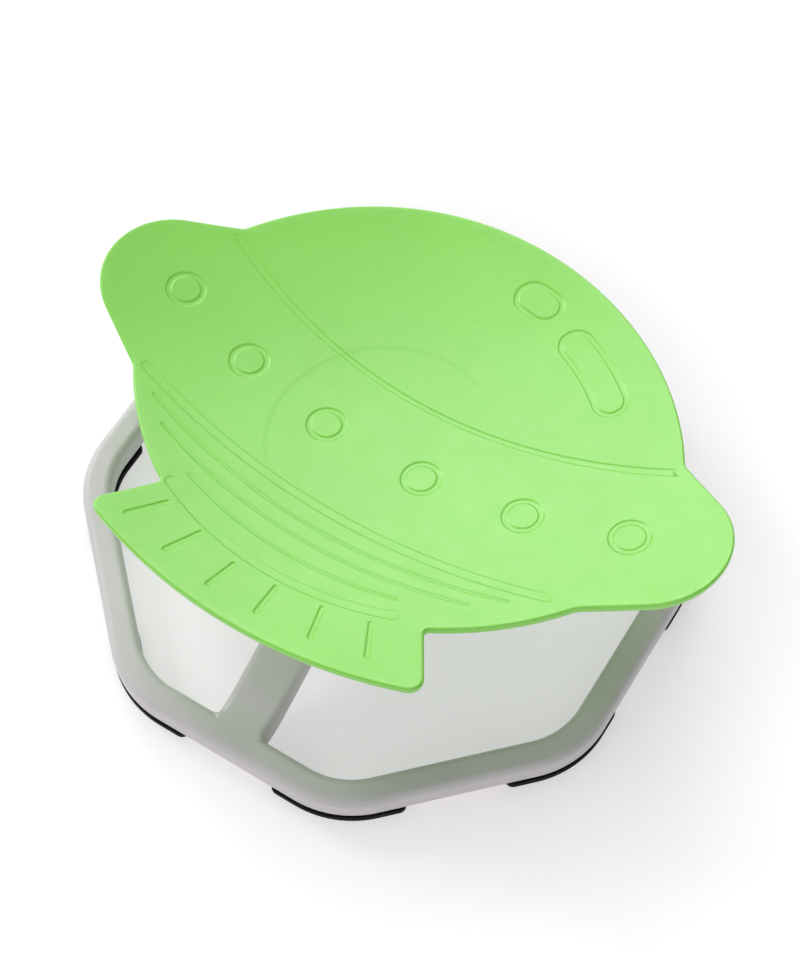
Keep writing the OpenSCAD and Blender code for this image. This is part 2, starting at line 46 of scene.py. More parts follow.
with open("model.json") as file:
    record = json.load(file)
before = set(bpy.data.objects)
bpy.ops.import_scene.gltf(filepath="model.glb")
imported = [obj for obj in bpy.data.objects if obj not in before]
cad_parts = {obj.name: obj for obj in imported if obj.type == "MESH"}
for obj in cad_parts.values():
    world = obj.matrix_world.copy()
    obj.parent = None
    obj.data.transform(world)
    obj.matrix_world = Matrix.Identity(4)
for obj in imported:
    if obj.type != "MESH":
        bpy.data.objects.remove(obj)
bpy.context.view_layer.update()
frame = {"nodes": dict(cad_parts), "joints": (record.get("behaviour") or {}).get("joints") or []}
NODES = frame["nodes"]
SPIN = next(j for j in frame["joints"] if j["name"] == "seat_spin")
SPIN_POINT = Vector(SPIN["pos_m"])
SPIN_AXIS = Vector(SPIN["axis"]).normalized()
RING_LOW, RING_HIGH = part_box("ring_tube")
BAR_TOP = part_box("bridge_bar")[1].z
PAD_COUNT = 8


def height_on_axis(node, reach=1.0):
    """Lowest and highest point of a node along the spin axis, for its vertices within reach of the axis."""
    axis = np.array(SPIN_AXIS)
    points = np.array([v.co for v in NODES[node].data.vertices]) - np.array(SPIN_POINT)
    along = points @ axis
    away = np.linalg.norm(points - along[:, None] * axis, axis=1)
    near = along[away < reach]
    return float(near.min()), float(near.max())


# Property helpers


def length(name, description, default):
    return bpy.props.FloatProperty(
        name=name, description=description, default=default, precision=4, unit="LENGTH"
    )


def lengths(name, description, *default):
    return bpy.props.FloatVectorProperty(
        name=name, description=description, default=default, size=len(default), precision=4, unit="LENGTH"
    )


def angle(name, description, degrees):
    return bpy.props.FloatProperty(
        name=name, description=description, default=math.radians(degrees), subtype="ANGLE", unit="ROTATION"
    )


def colour(name, description, default):
    return bpy.props.FloatVectorProperty(
        name=name, description=description, default=default, size=3, min=0, max=1, subtype="COLOR"
    )


def group(name, description, kind):
    return bpy.props.PointerProperty(name=name, description=description, type=kind)


class SeatSizes(bpy.types.PropertyGroup):
    """Outline, dish and relief of the moulded seat."""

    thickness: length("Thickness", "Thickness of the seat", 0.012)
    rim_edge: length("Rim edge", "Radius of the rim's upper edge", 0.002)
    rim_low: length("Lower rim edge", "Radius of the rim's lower edge", 0.009)
    dish_rise: length("Dish rise", "Rise of the dish 100 mm from its middle", 0.0051)
    turn: angle("Turn", "Turn of the seat about its axis at rest", -4.3)
    dome_y: length("Dome centre", "Place of the dome's centre along the seat", -0.024)
    dome_r: length("Dome radius", "Radius of the dome", 0.230)
    dome_end: angle("Dome end", "Angle at which the dome meets the lobes", 30.1)
    dome_sway: length("Dome sway", "How far the dome is fuller on the left and flatter on the right", 0.0024)
    lobe_x: lengths("Lobe offsets", "Right and left lobe's distance from the middle line", 0.2152, 0.2067)
    lobe_y: lengths("Lobe places", "Place of the right and left lobe along the seat", 0.0229, 0.0192)
    lobe_r: lengths("Lobe radii", "Radius of the right and left lobe", 0.0553, 0.0579)
    body_x: length("Body offset", "Sideways offset of the lower body's centre", 0.0042)
    body_y: length("Body centre", "Place of the lower body's centre along the seat", 0.0926)
    body_r: length("Body radius", "Radius of the lower body", 0.243)
    body_right: angle("Right body end", "Angle at which the lower body meets the right lobe", 35.8)
    body_left: angle("Left body end", "Angle at which the lower body meets the left lobe", 38.3)
    root: lengths("Tail roots", "Right and left root's distance from the middle line", 0.1231, 0.1038)
    tip: lengths("Tail tips", "Right and left tip's distance from the middle line", 0.1562, 0.1328)
    tail_x: length("Tail offset", "Sideways offset of the centre of the tail's lower edge", 0.0004)
    tail_low: length("Tail end", "Place of the tail's lower edge along the seat", -0.1938)
    tail_r: length("Tail radius", "Radius of the tail's lower edge", 0.4314)
    tip_r: length("Tip radius", "Radius of the tail tips", 0.010)
    dome_fillet: length("Dome fillet", "Fillet between dome and lobes", 0.010)
    waist_fillet: length("Waist fillet", "Fillet between lobes and body", 0.016)
    root_fillet: length("Root fillet", "Fillet at the tail's root", 0.004)
    boss_r: length("Boss radius", "Radius of the mounting boss under the seat", 0.087)
    boss_t: length("Boss height", "Height of the mounting boss", 0.003)
    boss_fillet: length("Boss fillet", "Fillet round the mounting boss", 0.003)
    boss_edge: length("Boss edge", "Bevel of the mounting boss's lower edge", 0.0008)
    recess_r: length("Recess radius", "Radius of the recess over the axle's end", 0.0235)
    relief: length("Relief depth", "Depth of the moulded lines", 0.0006)
    wall: length("Relief wall", "Width of the slope at the edge of a wide moulded line", 0.0018)


class BaseSizes(bpy.types.PropertyGroup):
    """Tubes and rubber strips of the base."""

    tube_w: length("Tube width", "Width of the ring tube", 0.022)
    edge_r: length("Edge radius", "Radius of the tubes' long edges", 0.006)
    bend_r: length("Bend radius", "Radius of each corner bend at the middle of the tube", 0.070)
    bar_w: length("Bar width", "Width of the bridge bar", 0.040)
    bar_tall: length("Bar height", "Height of the bridge bar's section away from the ring", 0.023)
    bar_lead: length("Bar lead", "Straight stretch of the bar before it starts to rise", 0.004)
    bar_rise: length("Bar rise", "Rise of the bar's flat middle above the ring", 0.028)
    bar_slope: angle("Bar slope", "Slope of the bar's rising stretches", 24)
    bar_bend_r: length("Bar bend", "Bend radius of the bar", 0.050)
    weld_r: length("Weld radius", "Radius of the smooth weld between bar and ring", 0.004)
    pad_reach: length("Strip reach", "Reach of a rubber strip from the sharp outer corner", 0.056)
    pad_edge: length("Strip edge", "Radius of the rubber strips' edges", 0.0015)
    pad_corner: length("Strip corner", "Radius of the corners at a rubber strip's ends", 0.006)


class Finishes(bpy.types.PropertyGroup):
    """Colours of the finishes."""

    seat: colour("Seat plastic", "Yellow-green moulded plastic", (0.233, 0.650, 0.082))
    coat: colour("Powder coat", "Warm light grey coat of the tubes", (0.548, 0.520, 0.536))
    rubber: colour("Rubber", "Black rubber of the feet", (0.0025, 0.0025, 0.003))
    steel: colour("Steel", "Ground steel of the bearings and the axle", (0.60, 0.60, 0.62))
    zinc: colour("Zinc", "Zinc plating of the hub", (0.54, 0.55, 0.58))
    dark_steel: colour("Dark steel", "Black oxide screws", (0.055, 0.056, 0.060))
    brass: colour("Brass", "Brass inserts and cages", (0.70, 0.50, 0.20))
    floor: colour("Floor", "Pale studio floor", (0.48, 0.48, 0.48))


class StageSizes(bpy.types.PropertyGroup):
    """Place and view of the camera."""

    focus: lengths("Look-at point", "Point that the camera looks at", -0.0099, 0.0352, 0.008)
    distance: length("Camera distance", "Distance of the camera from the look-at point", 1.6548)
    azimuth: angle("Camera azimuth", "Direction from which the camera looks, from -Y towards +X", 31.6)
    elevation: angle("Camera elevation", "Height of the camera above the horizon", 62.05)
    view_height: angle("Camera view", "Vertical angle of view", 26.06)


class SpinSeatSettings(bpy.types.PropertyGroup):
    """All sizes and colours of the spinning seat."""

    seat: group("Seat", "Sizes of the moulded seat", SeatSizes)
    base: group("Base", "Sizes of the tubes and the rubber strips", BaseSizes)
    finish: group("Finishes", "Colours of the finishes", Finishes)
    stage: group("Stage", "Place and view of the camera", StageSizes)


# Plane outlines, as arrays of points in counterclockwise order


def on_circle(centre, radius, degrees):
    """Point on a circle at an angle in degrees."""
    a = math.radians(degrees)
    return np.array([centre[0] + radius * math.cos(a), centre[1] + radius * math.sin(a)])


def arc(centre, radius, start, end, pitch=0.003):
    """Points along a circle from one angle to another, in degrees, about one pitch apart."""
    count = max(3, math.ceil(abs(math.radians(end - start)) * radius / pitch))
    return np.array([on_circle(centre, radius, a) for a in np.linspace(start, end, count + 1)])


def unit(v):
    """Vectors scaled to length 1."""
    return v / np.linalg.norm(v, axis=-1, keepdims=True)


def corner_arc(before, corner, after, radius, steps=8):
    """Arc that rounds a corner between its two neighbours."""
    u, v = unit(before - corner), unit(after - corner)
    half = math.acos(np.clip(u @ v, -1, 1)) / 2
    centre = corner + unit(u + v) * radius / math.sin(half)
    first, last = [corner + way * radius / math.tan(half) - centre for way in (u, v)]
    sweep = math.copysign(math.pi - 2 * half, first[0] * last[1] - first[1] * last[0])
    turns = [sweep * i / steps for i in range(steps + 1)]
    return [centre + (first[0] * math.cos(t) - first[1] * math.sin(t),
                      first[0] * math.sin(t) + first[1] * math.cos(t)) for t in turns]


def rounded(corners):
    """Closed outline from (point, radius) pairs; a radius of 0 keeps the point."""
    points = []
    for i, (point, radius) in enumerate(corners):
        before, after = corners[i - 1][0], corners[(i + 1) % len(corners)][0]
        points += corner_arc(before, point, after, radius) if radius else [point]
    return np.array(points)


def evened(loop, pitch):
    """Closed loop with extra points along its edges, so that none is much longer than a pitch."""
    points = []
    for start, end in zip(loop, np.roll(loop, -1, 0)):
        count = max(1, round(np.linalg.norm(end - start) / pitch))
        points += [start + (end - start) * i / count for i in range(count)]
    return np.array(points)


def moved_in(loop, distance):
    """Closed loop moved inwards by a distance, with parallel edges."""
    before, after = unit(loop - np.roll(loop, 1, 0)), unit(np.roll(loop, -1, 0) - loop)
    a, b = np.c_[before[:, 1], -before[:, 0]], np.c_[after[:, 1], -after[:, 0]]
    return loop - distance * (a + b) / (1 + (a * b).sum(1))[:, None]


def inside(points, loop):
    """True for each point that lies inside a closed loop."""
    x, y = points[:, 0], points[:, 1]
    result = np.zeros(len(points), bool)
    for (x0, y0), (x1, y1) in zip(loop, np.roll(loop, -1, 0)):
        crosses = (y0 > y) != (y1 > y)
        if crosses.any():
            result[crosses] ^= x[crosses] < (x1 - x0) * (y[crosses] - y0) / (y1 - y0) + x0
    return result


def touch(point, centre, radius, way):
    """Angle, in degrees, at which a line from a point touches a circle."""
    d = point - np.array(centre)
    return math.degrees(math.atan2(d[1], d[0])) + way * math.degrees(math.acos(radius / np.linalg.norm(d)))


# Waves of the dome's sway in each radian from its top, and points along the dome
DOME_WAVE = 3.2
DOME_STEPS = 80
BODY_PITCH, TAIL_PITCH = 0.006, 0.017


def seat_outline(s):
    """Outer outline of the seat: dome, two lobes, lower body and tail, with +Y towards the dome."""
    flip = np.array([-1, 1])
    dome_end, body_c = math.degrees(s.dome_end), (s.body_x, s.body_y)
    ends = math.degrees(s.body_left) - 180, -math.degrees(s.body_right)
    waist_left, waist_right = [on_circle(body_c, s.body_r, end) for end in ends]
    dome = []
    for a in np.linspace(dome_end, 180 - dome_end, DOME_STEPS):
        sway = s.dome_sway * math.sin(math.radians(a - 90) * DOME_WAVE)
        dome.append(on_circle((0, s.dome_y), s.dome_r + sway, a))

    def lobe(side, waist, tip):
        centre, radius = (s.lobe_x[side], s.lobe_y[side]), s.lobe_r[side]
        return arc(centre, radius, touch(waist, centre, radius, 1), touch(tip, centre, radius, -1))

    def below(x, centre_x, radius):
        return math.degrees(math.asin((x - centre_x) / radius)) - 90

    def plain(points):
        return [(p, 0) for p in points]

    lobe_right = lobe(0, waist_right, dome[0])
    lobe_left = lobe(1, waist_left * flip, dome[-1] * flip)[::-1] * flip
    left = arc(body_c, s.body_r, ends[0], below(-s.root[1], s.body_x, s.body_r), BODY_PITCH)
    right = arc(body_c, s.body_r, below(s.root[0], s.body_x, s.body_r), ends[1], BODY_PITCH)
    tips = [below(x, s.tail_x, s.tail_r) for x in (-s.tip[1], s.tip[0])]
    tail = arc((s.tail_x, s.tail_low + s.tail_r), s.tail_r, *tips, TAIL_PITCH)
    return rounded(
        [(dome[0], s.dome_fillet)] + plain(dome[1:-1]) + [(dome[-1], s.dome_fillet)]
        + plain(lobe_left) + [(waist_left, s.waist_fillet)]
        + plain(left[1:-1]) + [(left[-1], s.root_fillet), (tail[0], s.tip_r)]
        + plain(tail[1:-1]) + [(tail[-1], s.tip_r), (right[0], s.root_fillet)]
        + plain(right[1:-1]) + [(waist_right, s.waist_fillet)] + plain(lobe_right)
    )


# Moulded lines of the seat

# Pitch of the points along rings and windows, and points in each radius of a round end
LINE_PITCH, CAP_STEPS = 0.002, 3


def bowl_y(centre_y, radius, x):
    """Height of the lower side of a circle on the middle line."""
    return centre_y - np.sqrt(radius**2 - x**2)


def slot(upper, lower, reach_upper, reach_lower=None, pitch=0.003):
    """Slot between two shallow arcs, each (centre height, radius), with round or slanted ends."""
    reach_lower = reach_lower or reach_upper
    x_low = np.linspace(-reach_lower, reach_lower, round(2 * reach_lower / pitch))
    x_up = np.linspace(reach_upper, -reach_upper, round(2 * reach_upper / pitch))
    low, up = np.c_[x_low, bowl_y(*lower, x_low)], np.c_[x_up, bowl_y(*upper, x_up)]
    if reach_lower != reach_upper:
        return np.concatenate([low, up])
    middle, half = (low[-1] + up[0]) / 2, np.linalg.norm(up[0] - low[-1]) / 2
    lean = math.degrees(math.atan2(*(up[0] - low[-1])[::-1])) - 90
    cap = arc(middle, half, lean - 90, lean + 90, half / CAP_STEPS)[1:-1]
    return np.concatenate([low, cap, up, (cap * (-1, 1))[::-1]])


def capsule(start, end, half):
    """Straight slot with round ends."""
    lean = math.degrees(math.atan2(*(end - start)[::-1]))
    sides = np.linspace(start, end, round(np.linalg.norm(end - start) / LINE_PITCH))[1:-1]
    normal = on_circle((0, 0), half, lean + 90)
    return np.concatenate([sides - normal, arc(end, half, lean - 90, lean + 90, half / CAP_STEPS),
                           (sides + normal)[::-1], arc(start, half, lean + 90, lean + 270, half / CAP_STEPS)])


def bent_capsule(centre, radius, start, end, half):
    """Slot with round ends that follows a circle, from one angle to another, in degrees."""
    caps = [on_circle(centre, radius, a) for a in (start, end)]
    return np.concatenate([
        arc(centre, radius + half, start, end, LINE_PITCH)[1:-1],
        arc(caps[1], half, end, end + 180, LINE_PITCH),
        arc(centre, radius - half, end, start, LINE_PITCH)[1:-1],
        arc(caps[0], half, start - 180, start, LINE_PITCH)])


# Upper and lower arc of the wide band, each (height of its centre, radius), and their half widths
BAND = ((0.528, 0.483), (0.557, 0.5175))
BAND_REACH = (0.1945, 0.2025)
# Two slots, each as upper arc, lower arc and half width
LONG_SLOT = ((0.6973, 0.7667), (0.6886, 0.7667), 0.178)
LOW_SLOT = ((0.1160, 0.2525), (0.1265, 0.2715), 0.0985)
# Thin lines, each (height of the arc's centre, radius, half width), and half of their thickness
THIN_LINES = ((0.4812, 0.5722, 0.1575), (0.3875, 0.492, 0.136), (0.222, 0.343, 0.0925))
THIN_HALF = 0.0017
# Row of rings: arc of their centres, distances from the middle line, and a ring's two radii
PORTHOLE_PATH = (0.616, 0.6284)
PORTHOLE_X = (0.0427, 0.1233, 0.199)
PORTHOLE_R = (0.0160, 0.0103)
# Windows of the dome, each (radius of its middle line, angles, half width), and their line's width
WINDOWS = ((0.1912, 80.2, 83.9, 0.0154), (0.1853, 49.0, 67.0, 0.0145))
WINDOW_BAND = 0.0056
# Rays, each (angle from the middle line, distances of its ends from the centre), and their half width
RAY_CENTRE = (0.0, 0.012)
RAYS = ((-30.5, 0.1736, 0.2036), (-18.9, 0.1646, 0.1931), (-6.1, 0.1636, 0.1886),
        (6.5, 0.162, 0.1875), (19.5, 0.1657, 0.1927), (31.5, 0.1734, 0.2019))
RAY_HALF = 0.0026
# Shares of the relief's depth and of its slope's width for each kind of line
BAND_CUT, SLOT_CUT, THIN_CUT = (0.7, 0.9), (0.55, 0.9), (0.55, 0.65)
RING_CUT, RAY_CUT = (1.0, 1.0), (1.1, 1.0)


def moulded_lines(s):
    """Every moulded line: (outer outline, inner outline or None, share of depth, share of slope)."""
    lines = [(slot(*BAND, *BAND_REACH), None, *BAND_CUT)]
    lines += [(slot(*place), None, *SLOT_CUT) for place in (LONG_SLOT, LOW_SLOT)]
    for centre_y, radius, reach in THIN_LINES:
        pair = (centre_y, radius - THIN_HALF), (centre_y, radius + THIN_HALF)
        lines.append((slot(*pair, reach), None, *THIN_CUT))
    for x in PORTHOLE_X:
        for side in (-1, 1):
            centre = (side * x, bowl_y(*PORTHOLE_PATH, x))
            lines.append((*[arc(centre, r, 0, 360, LINE_PITCH)[:-1] for r in PORTHOLE_R], *RING_CUT))
    for radius, start, end, half in WINDOWS:
        halves = (half, half - WINDOW_BAND)
        lines.append((*[bent_capsule((0, s.dome_y), radius, start, end, h) for h in halves], *RING_CUT))
    for ray, *reaches in RAYS:
        ends = [on_circle(RAY_CENTRE, reach, -90 + ray) for reach in reaches]
        lines.append((capsule(*ends, RAY_HALF), None, *RAY_CUT))
    return lines


# Share of the slope's width and of the depth at each loop of a moulded line's wall
WALL_PROFILE = ((-0.3, 0.0), (0.0, 0.0), (0.25, 0.1), (0.5, 0.5), (0.75, 0.9), (1.0, 1.0), (1.3, 1.0))
# Grid that fills a face: its pitch, distance of its rows in pitches, and clearance from loops
GRID, ROW_SHARE, CLEAR = 0.006, 0.866, 0.0028
# Fill of a face: number of the output that keeps only what lies inside, and distance at which points merge
INSIDE_ONLY, FILL_MERGE = 1, 1e-7
# Distance from the dish's middle at which its rise is given
DISH_SPAN = 0.1
# Share of the boss's edge that is left at the middle of its bevel
BOSS_BEVEL = 0.3
# Steps round each edge of the rim, and pitch of the points along it
RIM_STEPS, RIM_PITCH = 10, 0.004


def plane_mesh(outer, loops, extra):
    """Triangles inside an outline that follow closed loops; loops are (points, depth) pairs."""
    coords, depths, edges = [], [], []
    for points, depth in [(outer, 0.0)] + loops:
        first = len(coords)
        coords += [Vector(p) for p in points]
        depths += [depth] * len(points)
        edges += [(first + i, first + (i + 1) % len(points)) for i in range(len(points))]
    coords += [Vector(p) for p in extra]
    depths += [0.0] * len(extra)
    verts, _, faces, origin, _, _ = delaunay_2d_cdt(coords, edges, [], INSIDE_ONLY, FILL_MERGE)
    out_depths = [max([depths[i] for i in o], default=0.0) for o in origin]
    return np.array([v[:] for v in verts]), np.array(out_depths), faces


def grid_points(outer, loops, pitch=GRID):
    """Points of a triangular grid inside an outline, clear of every loop."""
    low, high = outer.min(0), outer.max(0)
    rows = np.arange(low[1], high[1], pitch * ROW_SHARE)
    points = np.array([(x + (k % 2) * pitch / 2, y) for k, y in enumerate(rows)
                       for x in np.arange(low[0], high[0], pitch)])
    points = points[inside(points, outer)]
    taken = np.concatenate([outer] + [p for p, _ in loops])
    tree = KDTree(len(taken))
    for i, p in enumerate(taken):
        tree.insert((p[0], p[1], 0), i)
    tree.balance()
    return [p for p in points if tree.find((p[0], p[1], 0))[2] > CLEAR]


def new_object(name, data):
    """Object at the origin, in the scene."""
    made = bpy.data.objects.new(name, data)
    bpy.context.scene.collection.objects.link(made)
    return made


def mesh_object(name, verts, faces, place=None, merge=2e-6):
    """Object with smooth faces that point outwards, without doubles and loose points."""
    mesh = bpy.data.meshes.new(name)
    mesh.from_pydata([tuple(v) for v in verts], [], [tuple(f) for f in faces])
    if place is not None:
        mesh.transform(place)
    bm = bmesh.new()
    bm.from_mesh(mesh)
    bmesh.ops.remove_doubles(bm, verts=bm.verts, dist=merge)
    bmesh.ops.delete(bm, geom=[v for v in bm.verts if not v.link_faces], context="VERTS")
    bmesh.ops.recalc_face_normals(bm, faces=bm.faces)
    for face in bm.faces:
        face.smooth = True
    bm.to_mesh(mesh)
    bm.free()
    return new_object(name, mesh)


def ring_strip(first, second, count):
    """Quads between two closed rings of points that start at the given vertices."""
    return [(first + i, first + (i + 1) % count, second + (i + 1) % count, second + i) for i in range(count)]


def seat_mesh(s):
    """Vertices and faces of the seat in its own frame, with the dish's lowest point at the origin."""
    dish = s.dish_rise / DISH_SPAN**2
    rim = evened(seat_outline(s), RIM_PITCH)
    loops = []
    for outer, inner, share, slope in moulded_lines(s):
        for run, deep in WALL_PROFILE:
            loops.append((moved_in(outer, s.wall * slope * run), s.relief * share * deep))
            if inner is not None:
                loops.append((moved_in(inner, -s.wall * slope * run), s.relief * share * deep))
    edge = moved_in(rim, s.rim_edge)
    verts, faces = [], []

    def raised(points, drop):
        return np.c_[points, dish * (points**2).sum(1) - drop]

    def add(points, polygons):
        first = sum(len(v) for v in verts)
        verts.append(points)
        faces.extend(tuple(i + first for i in f) for f in polygons)
        return first

    def wall(rings):
        starts = [add(ring, []) for ring in rings]
        for a, b in zip(starts, starts[1:]):
            faces.extend(ring_strip(a, b, len(rings[0])))
        return starts[-1]

    top, depth, tris = plane_mesh(edge, loops, grid_points(edge, loops))
    add(raised(top, depth), tris)
    quarter = [math.pi / 2 * i / RIM_STEPS for i in range(RIM_STEPS + 1)]
    r, low_r = s.rim_edge, s.rim_low
    sections = [(r * (1 - math.sin(a)), r * (1 - math.cos(a))) for a in quarter]
    sections += [(low_r * (1 - math.cos(a)), s.thickness - low_r * (1 - math.sin(a))) for a in quarter]
    wall([raised(moved_in(rim, inset), drop) for inset, drop in sections])
    foot_r = s.boss_r + s.boss_fillet
    foot = arc((0, 0), foot_r, 0, 360)[:-1]
    hole = [(foot, 0.0)]
    low_edge = moved_in(rim, low_r)
    under, _, tris = plane_mesh(low_edge, hole, grid_points(low_edge, hole, 2 * GRID))
    tris = [f for f in tris if np.linalg.norm(under[list(f)].mean(0)) > foot_r]
    add(raised(under, s.thickness), tris)
    high, low = dish * foot_r**2 - s.thickness, -s.thickness - s.boss_t
    fillet, soft, bevel = s.boss_fillet, s.boss_edge, s.boss_edge * BOSS_BEVEL
    rings = [(foot_r - fillet * math.sin(a), high - fillet * (1 - math.cos(a))) for a in quarter[::2]]
    rings += [(s.boss_r, low + soft), (s.boss_r - bevel, low + bevel),
              (s.boss_r - soft, low), (s.recess_r, low), (s.recess_r, -s.thickness)]
    flat = foot / foot_r
    last = wall([np.c_[flat * radius, np.full(len(flat), z)] for radius, z in rings])
    faces.append(tuple(range(last, last + len(flat))))
    return np.concatenate(verts), faces


def seat_place(s, reach=0.001):
    """Matrix from the seat's own frame to the object's frame."""
    rise = height_on_axis("seat_shell", reach)[1]
    lean = Vector((0, 0, 1)).rotation_difference(SPIN_AXIS).to_matrix().to_4x4()
    return Matrix.Translation(SPIN_POINT + SPIN_AXIS * rise) @ lean @ Matrix.Rotation(s.turn, 4, "Z")


def plan_uv(mesh, place):
    """UV map that holds each corner's place on the seat's plan, in metres."""
    back = place.inverted()
    layer = mesh.uv_layers.new(name="seat_plan")
    plan = [(back @ v.co).xy for v in mesh.vertices]
    for loop in mesh.loops:
        layer.data[loop.index].uv = plan[loop.vertex_index]


# Tubes

CORNER_TURN = 360 / PAD_COUNT
MIDDLE_Z = (RING_LOW.z + RING_HIGH.z) / 2
# Stations of the bar inside the ring, in edge radii from the ring's inner face
BAR_SUNK = (2.4, 1.7, 1.0, 0.8, 0.6, 0.4, 0.2, 0.0)


def tube_section(w, h, r, steps=7, hold=0.0007):
    """Rounded rectangle with extra points that keep its flats flat."""
    # A little over one step, so that rounding up gives the steps
    pitch = r * math.pi / 2 / steps * 1.001
    points = []
    for k, (sx, sy) in enumerate(((1, 1), (-1, 1), (-1, -1), (1, -1))):
        bend = arc((sx * (w / 2 - r), sy * (h / 2 - r)), r, 90 * k, 90 * k + 90, pitch)
        before, after = [on_circle((0, 0), hold, 90 * k + a) for a in (-90, 180)]
        points += [bend[0] + before, *bend, bend[-1] + after]
    return np.array(points)


def swept(name, rings, closed):
    """Object from rings of points along a path."""
    count = len(rings[0])
    verts = np.concatenate(rings)
    pairs = [(k, (k + 1) % len(rings)) for k in range(len(rings) if closed else len(rings) - 1)]
    faces = [f for a, b in pairs for f in ring_strip(a * count, b * count, count)]
    if not closed:
        faces += [tuple(range(count)), tuple(range(len(verts) - count, len(verts)))]
    return mesh_object(name, verts, faces)


def bend_centre(b, k):
    """Centre of the ring's bend at one corner."""
    middle = (RING_HIGH.x - RING_LOW.x) / 2 - b.tube_w / 2
    away = (middle - b.bend_r) / math.cos(math.radians(CORNER_TURN / 2))
    return on_circle((0, 0), away, CORNER_TURN * (k + 0.5))


def ring_stations(b, bend_steps=18):
    """Stations of the base ring's middle line: (x, y, direction outwards in degrees)."""
    stations = []
    for k in range(PAD_COUNT):
        for a in np.linspace(CORNER_TURN * k, CORNER_TURN * (k + 1), bend_steps + 1):
            stations.append((*on_circle(bend_centre(b, k), b.bend_r, a), a))
    return stations


def ring_rings(stations, section, z):
    """Section points at each station, standing across the ring."""
    across, up = section.T
    rings = []
    for x, y, a in stations:
        out = on_circle((0, 0), 1, a)
        rings.append(np.c_[x + across * out[0], y + across * out[1], z + up])
    return rings


def inner_face(b):
    """Distance of the ring's inner face from the middle."""
    return (RING_HIGH.y - RING_LOW.y) / 2 - b.tube_w


def bar_stations(b, lead_steps=4, foot_steps=16, top_steps=12):
    """Stations of half of the bar: (y, z, slope, half width), from the ring to the middle."""
    ring_in, r = inner_face(b), b.bar_bend_r
    run, rise = r * math.sin(b.bar_slope), r * (1 - math.cos(b.bar_slope))
    start = ring_in - b.bar_lead
    flat = start - 2 * run - (b.bar_rise - 2 * rise) / math.tan(b.bar_slope)
    path = [(ring_in + b.edge_r * k, MIDDLE_Z, 0.0) for k in BAR_SUNK]
    path += [(ring_in - b.bar_lead * i / lead_steps, MIDDLE_Z, 0.0) for i in range(1, lead_steps)]
    for i in range(foot_steps + 1):
        a = b.bar_slope * i / foot_steps
        path.append((start - r * math.sin(a), MIDDLE_Z + r * (1 - math.cos(a)), a))
    for i in range(top_steps, -1, -1):
        a = b.bar_slope * i / top_steps
        path.append((flat + r * math.sin(a), MIDDLE_Z + b.bar_rise - r * (1 - math.cos(a)), a))
    stations = []
    for y, z, slope in path:
        into = min(max((ring_in - y) / b.weld_r, 0.0), 1.0)
        flare = b.weld_r * (1 - math.sqrt(1 - (1 - into) ** 2))
        stations.append((y, z, slope, b.bar_w / 2 + flare))
    return stations


def bar_rings(b, skin=0.00004, sink=0.0004, before=0.05, over=0.04, flare=0.55):
    """Section points along the whole bar, a skin taller than the ring tube where it runs into it."""
    tall = RING_HIGH.z - RING_LOW.z + skin
    half, ends = bar_stations(b), inner_face(b) + b.edge_r
    rings = []
    for y, z, slope, w in half + [(-y, z, -slope, w) for y, z, slope, w in reversed(half)]:
        near = min(max((abs(y) - (ends - before)) / over, 0.0), 1.0)
        ease = near * near * (3 - 2 * near)
        sunk = sink * (max(abs(y) - ends, 0.0) / b.edge_r) ** 2
        high = b.bar_tall + (tall - b.bar_tall) * ease - 2 * sunk
        across, up = tube_section(2 * w, high, b.edge_r + flare * (w - b.bar_w / 2)).T
        rings.append(np.c_[across, y + up * math.sin(slope), z + up * math.cos(slope)])
    return rings


def pad_rings(b, k, end_steps=8, bend_steps=14):
    """Section points along one rubber strip, drawn in to round ends."""
    centre, corner, thick = bend_centre(b, k), b.pad_corner, RING_LOW.z
    reach = b.pad_reach - (b.bend_r + b.tube_w / 2) * math.tan(math.radians(CORNER_TURN / 2))
    turns = [math.pi / 2 * i / end_steps for i in range(end_steps, -1, -1)]
    spread = [reach - corner * (1 - math.sin(a)) for a in turns]
    side = b.tube_w / 2 - corner
    draw = [side + math.sqrt(max(corner**2 - (s - reach + corner) ** 2, 0)) for s in spread]
    first, last = CORNER_TURN * k, CORNER_TURN * (k + 1)

    def end(way, a):
        base, along = on_circle(centre, b.bend_r, a), on_circle((0, 0), way, a + 90)
        return [(*(base + along * s), a, half) for s, half in zip(spread, draw)]

    bend = np.linspace(first, last, bend_steps + 1)
    stations = end(-1, first) + [(*on_circle(centre, b.bend_r, t), t, b.tube_w / 2) for t in bend]
    rings = []
    for x, y, a, half in stations + end(1, last)[::-1]:
        section = tube_section(2 * half, thick, b.pad_edge, steps=4, hold=0.0002)
        rings += ring_rings([(x, y, a)], section, thick / 2)
    return rings


# Node trees

# Values of a noise between which colours and roughness wander
NOISE_SPAN = (0.3, 0.7)


class Nodes:
    """Node tree with helpers for adding and joining nodes."""

    def __init__(self, tree):
        self.tree = tree

    def add(self, kind, **values):
        return self.set(self.tree.nodes.new(kind), **values)

    def set(self, node, **values):
        """Sets some of a node's settings and inputs."""
        for key, value in values.items():
            if hasattr(node, key):
                setattr(node, key, value)
            else:
                node.inputs[key.replace("_", " ")].default_value = value
        return node

    def join(self, source, target, into):
        """Joins an output, or a node's first output, to an input of another node."""
        self.tree.links.new(getattr(source, "outputs", [source])[0], target.inputs[into])

    def number(self, source, operation, other, kind="VectorMath"):
        """Number made from a value and a fixed one."""
        node = self.add("ShaderNode" + kind, operation=operation)
        node.inputs[1].default_value = other
        self.join(source, node, 0)
        return node.outputs["Value"]

    def span(self, source, edges, levels=(0, 1), ease="SMOOTHSTEP"):
        """Value that runs from one level to another between two edges."""
        node = self.add("ShaderNodeMapRange", interpolation_type=ease, From_Min=edges[0], From_Max=edges[1],
                        To_Min=levels[0], To_Max=levels[1])
        self.join(source, node, "Value")
        return node


